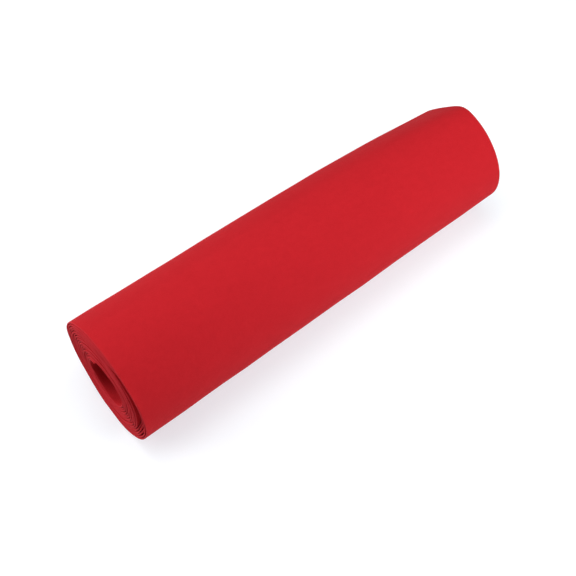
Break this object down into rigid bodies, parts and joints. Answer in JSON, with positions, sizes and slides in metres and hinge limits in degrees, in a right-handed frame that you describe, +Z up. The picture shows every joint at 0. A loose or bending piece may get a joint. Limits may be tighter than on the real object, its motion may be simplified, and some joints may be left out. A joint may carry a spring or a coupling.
{
  "type": "roll of felt",
  "caption": "Roll of soft red craft felt lying on its side, wound on itself around an open hollow, with loose outer turns at one end.",
  "frame": {"origin": "centre of the roll's footprint, on the surface that it rests on", "axes": "+X along the roll, from the end where the turns show to the other end; +Y to the back, the side with the cloth's outer end; +Z up"},
  "size_m": [0.45, 0.1316, 0.1187],
  "materials": {
    "felt": "matte needled felt, red all the way through"
  },
  "bodies": {
    "root": {"felt_roll": "felt"}
  },
  "joints": []
}
